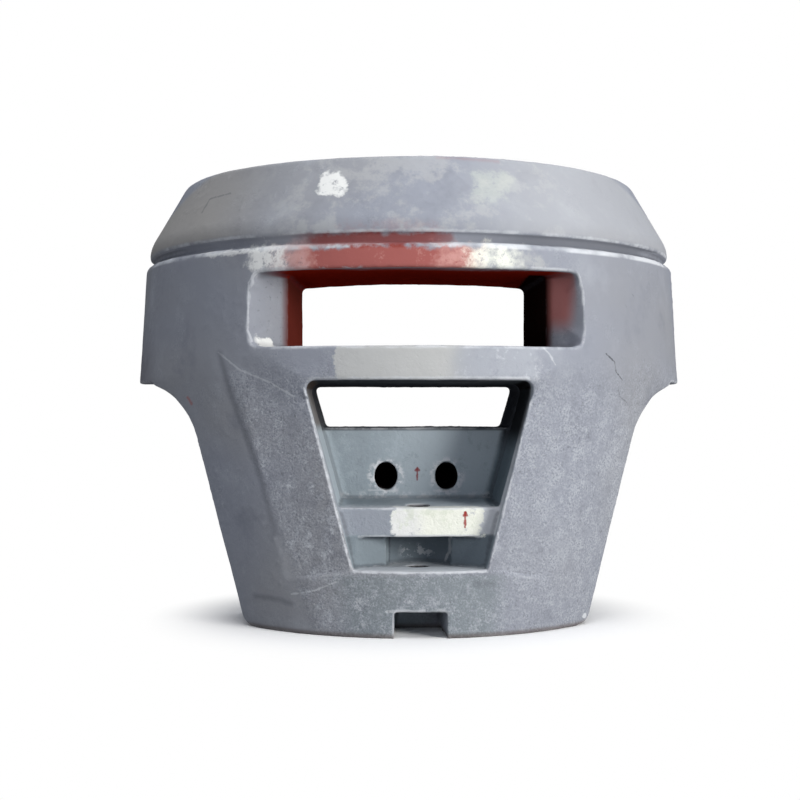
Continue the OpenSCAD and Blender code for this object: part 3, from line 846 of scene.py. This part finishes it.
grain = noise(0.006, 4.0, 0.65, 15.0)
coarse = noise(0.022, 3.0, 0.6, 16.0)
pits = step(noise(0.010, 1.0, 0.5, 17.0), 0.36, 0.26)
surface = calc("ADD", product(grain, 0.45), product(coarse, 0.55))
surface = calc("SUBTRACT", surface, product(pits, PIT_SHARE))
bump = shade.nodes.new("ShaderNodeBump")
bump.inputs["Strength"].default_value = 1.0
bump.inputs["Distance"].default_value = GRAIN_HEIGHT
surface = product(surface, calc("ADD", product(rough_skin, 1 - SMOOTH_COAT_SHARE), SMOOTH_COAT_SHARE))
shade.links.new(surface, bump.inputs["Height"])

shader = shade.nodes.new("ShaderNodeBsdfPrincipled")
shade.links.new(colour, shader.inputs["Base Color"])
rough = calc("ADD", calc("MULTIPLY", flecks, 0.18), 0.66)
shade.links.new(rough, shader.inputs["Roughness"])
shader.inputs["Specular IOR Level"].default_value = 0.0
shade.links.new(bump.outputs[0], shader.inputs["Normal"])
surface_out = shade.nodes.new("ShaderNodeOutputMaterial")
shade.links.new(shader.outputs[0], surface_out.inputs["Surface"])
print("material nodes:", len(shade.nodes))

# %% [markdown]
# ## Put the skin on
# The tree goes on as a modifier with its inputs set before it runs, and the result is frozen into
# a plain mesh. The net is then thinned where it is flat.

# %% Skin and thinning
TRIANGLES = 190000

skin = casting.modifiers.new("cast_skin", "NODES")
skin.node_group = skin_tree(coat_material)
for item in skin.node_group.interface.items_tree:
    if item.in_out == "INPUT" and item.name in SKIN_SIZES:
        skin[item.identifier] = SKIN_SIZES[item.name]
freeze(casting)

casting.data.calc_loop_triangles()
thinning = casting.modifiers.new("thin", "DECIMATE")
thinning.ratio = min(1.0, TRIANGLES / len(casting.data.loop_triangles))
freeze(casting)
casting.data.polygons.foreach_set("use_smooth", [True] * len(casting.data.polygons))
casting.data.update()
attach(casting, "root")
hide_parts("counterweight")
print("casting:", len(casting.data.polygons), "faces")

# %% [markdown]
# ## The floor
# A pale floor catches a soft shadow and fades into white further out, as a cut-out picture has it.
# For the light that bounces off it onto the casting, the floor is greyer than it looks.

# %% The floor
FLOOR_HALF = 14.0
FADE_FROM, FADE_TO = 0.30, 0.54
FLOOR_TONE = 0.98
FLOOR_BOUNCE = 0.45


def plain_ray(tree):
    """1 for rays from the camera and for those that metal or glass would send on, otherwise 0."""
    path = tree.nodes.new("ShaderNodeLightPath")
    result = path.outputs["Is Camera Ray"]
    for ray in ("Is Glossy Ray", "Is Transmission Ray"):
        either = tree.nodes.new("ShaderNodeMath")
        either.operation = "MAXIMUM"
        tree.links.new(result, either.inputs[0])
        tree.links.new(path.outputs[ray], either.inputs[1])
        result = either.outputs[0]
    return result


floor_mesh = bpy.data.meshes.new("floor")
corners = [(-FLOOR_HALF, -FLOOR_HALF, 0), (FLOOR_HALF, -FLOOR_HALF, 0),
           (FLOOR_HALF, FLOOR_HALF, 0), (-FLOOR_HALF, FLOOR_HALF, 0)]
floor_mesh.from_pydata([Vector(c) + Vector((0, 0, low.z)) for c in corners], [], [(0, 1, 2, 3)])
floor = bpy.data.objects.new("floor", floor_mesh)
bpy.context.scene.collection.objects.link(floor)

floor_paint = bpy.data.materials.new("pale_floor")
floor_paint.use_nodes = True
tree = floor_paint.node_tree
tree.nodes.clear()
where = tree.nodes.new("ShaderNodeTexCoord")
length = tree.nodes.new("ShaderNodeVectorMath")
length.operation = "LENGTH"
tree.links.new(where.outputs["Object"], length.inputs[0])
fade = tree.nodes.new("ShaderNodeMapRange")
fade.interpolation_type = "SMOOTHSTEP"
fade.inputs["From Min"].default_value = FADE_FROM
fade.inputs["From Max"].default_value = FADE_TO
tree.links.new(length.outputs["Value"], fade.inputs["Value"])
seen = plain_ray(tree)
factor = tree.nodes.new("ShaderNodeMath")
factor.operation = "MULTIPLY"
tree.links.new(fade.outputs["Result"], factor.inputs[0])
tree.links.new(seen, factor.inputs[1])
matt = tree.nodes.new("ShaderNodeBsdfDiffuse")
tone = tree.nodes.new("ShaderNodeMapRange")
tone.inputs["To Min"].default_value = FLOOR_BOUNCE
tone.inputs["To Max"].default_value = FLOOR_TONE
tree.links.new(seen, tone.inputs["Value"])
tree.links.new(tone.outputs["Result"], matt.inputs["Color"])
white = tree.nodes.new("ShaderNodeEmission")
blend = tree.nodes.new("ShaderNodeMixShader")
tree.links.new(factor.outputs[0], blend.inputs[0])
tree.links.new(matt.outputs[0], blend.inputs[1])
tree.links.new(white.outputs[0], blend.inputs[2])
floor_out = tree.nodes.new("ShaderNodeOutputMaterial")
tree.links.new(blend.outputs[0], floor_out.inputs["Surface"])
floor_mesh.materials.append(floor_paint)
print("floor at", round(low.z, 4))

# %% [markdown]
# ## Light
# A large lamp at the right front gives the form, and a weak, bluer one at the left keeps the shaded
# flank readable. One overhead lights the ledges, and one behind lights the truck side. A dim sky
# softens all of it. The camera sees plain white instead of the sky, so the white adds no light.

# %% The lamps and the sky
SKY_STRENGTH = 0.22
SKY_TINT = (0.85, 0.89, 1.0, 1)

sky = bpy.data.worlds.new("soft_sky")
bpy.context.scene.world = sky
sky.use_nodes = True
tree = sky.node_tree
tree.nodes.clear()
dim = tree.nodes.new("ShaderNodeBackground")
dim.inputs["Color"].default_value = SKY_TINT
dim.inputs["Strength"].default_value = SKY_STRENGTH
plain = tree.nodes.new("ShaderNodeBackground")
plain.inputs["Color"].default_value = (1, 1, 1, 1)
both = tree.nodes.new("ShaderNodeMixShader")
tree.links.new(plain_ray(tree), both.inputs[0])
tree.links.new(dim.outputs[0], both.inputs[1])
tree.links.new(plain.outputs[0], both.inputs[2])
sky_out = tree.nodes.new("ShaderNodeOutputWorld")
tree.links.new(both.outputs[0], sky_out.inputs["Surface"])


def lamp(name, place, aim, size, power, tint):
    data = bpy.data.lights.new(name, "AREA")
    data.shape = "DISK"
    data.size = size
    data.energy = power
    data.color = tint
    obj = bpy.data.objects.new(name, data)
    obj.location = place
    obj.rotation_euler = (Vector(aim) - Vector(place)).to_track_quat("-Z", "Y").to_euler()
    bpy.context.scene.collection.objects.link(obj)


lamp("key", (2.9, -2.75, 1.1), (0, 0, 0.5), 1.6, 148, (1.0, 0.985, 0.95))
lamp("fill", (-1.7, -3.2, 1.1), (0, 0, 0.4), 2.4, 17, (0.88, 0.92, 1.0))
lamp("overhead", (0, -0.6, 3.2), (0, -0.1, 0.5), 2.6, 62, (0.98, 0.99, 1.0))
lamp("back", (1.6, 3.2, 1.7), (0, 0, 0.5), 3.0, 22, (0.94, 0.96, 1.0))
bpy.context.scene.view_settings.view_transform = "Standard"
print("lamps set")
